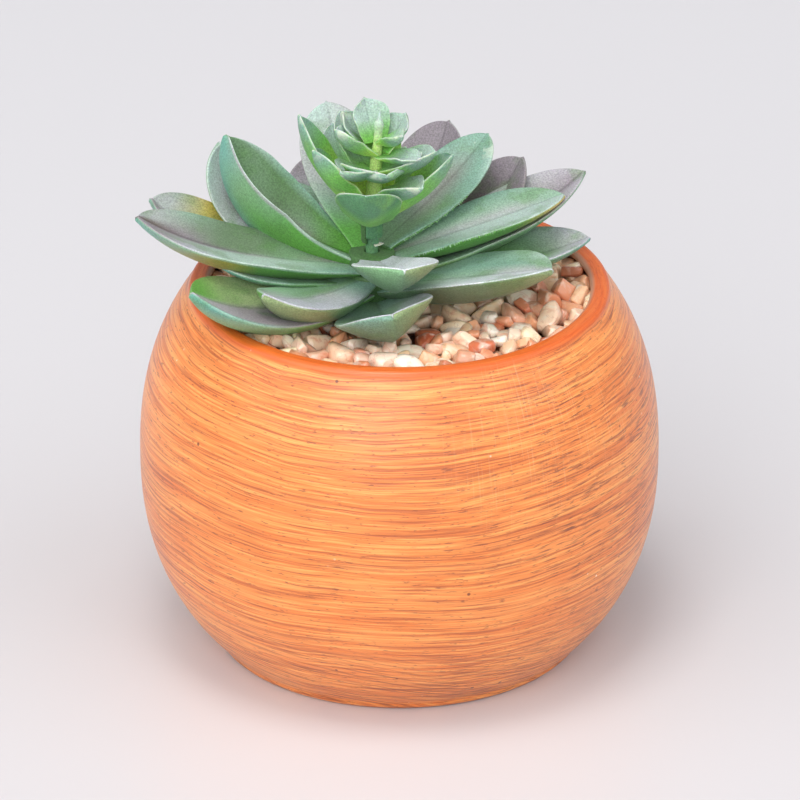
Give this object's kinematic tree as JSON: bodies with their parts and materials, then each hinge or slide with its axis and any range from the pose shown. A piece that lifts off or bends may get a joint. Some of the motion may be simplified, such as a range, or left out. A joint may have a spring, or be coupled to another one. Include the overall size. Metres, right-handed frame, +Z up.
{
  "type": "artificial potted succulent",
  "caption": "Artificial succulent with fleshy pointed leaves in stacked whorls and a small-leaved head, set in gravel in a glazed orange ball pot; a free-standing table or shelf ornament.",
  "frame": {"origin": "middle of the pot's flat foot, on the surface it stands on", "axes": "+Z up along the pot's axis, -Y towards the picture's viewer, +X to the viewer's right"},
  "size_m": [0.125, 0.125, 0.1394],
  "materials": {
    "glazed_clay": "satin orange glaze with fine brushed streaks",
    "hard_foam": "plain cut foam",
    "washed_gravel": "tumbled and washed, in cream, salmon and rust",
    "rod_plastic": "moulded green",
    "lower_leaf_plastic": "frosted grey-green with mauve creases",
    "upper_leaf_plastic": "frosted grey-green with mauve creases",
    "head_leaf_plastic": "bright green, frosted paler towards the tips"
  },
  "bodies": {
    "root": {"pot": "glazed_clay", "foam": "hard_foam", "gravel": "washed_gravel", "stem": "rod_plastic", "whorl_lower": "lower_leaf_plastic", "whorl_upper": "upper_leaf_plastic", "head": "head_leaf_plastic"}
  },
  "joints": []
}
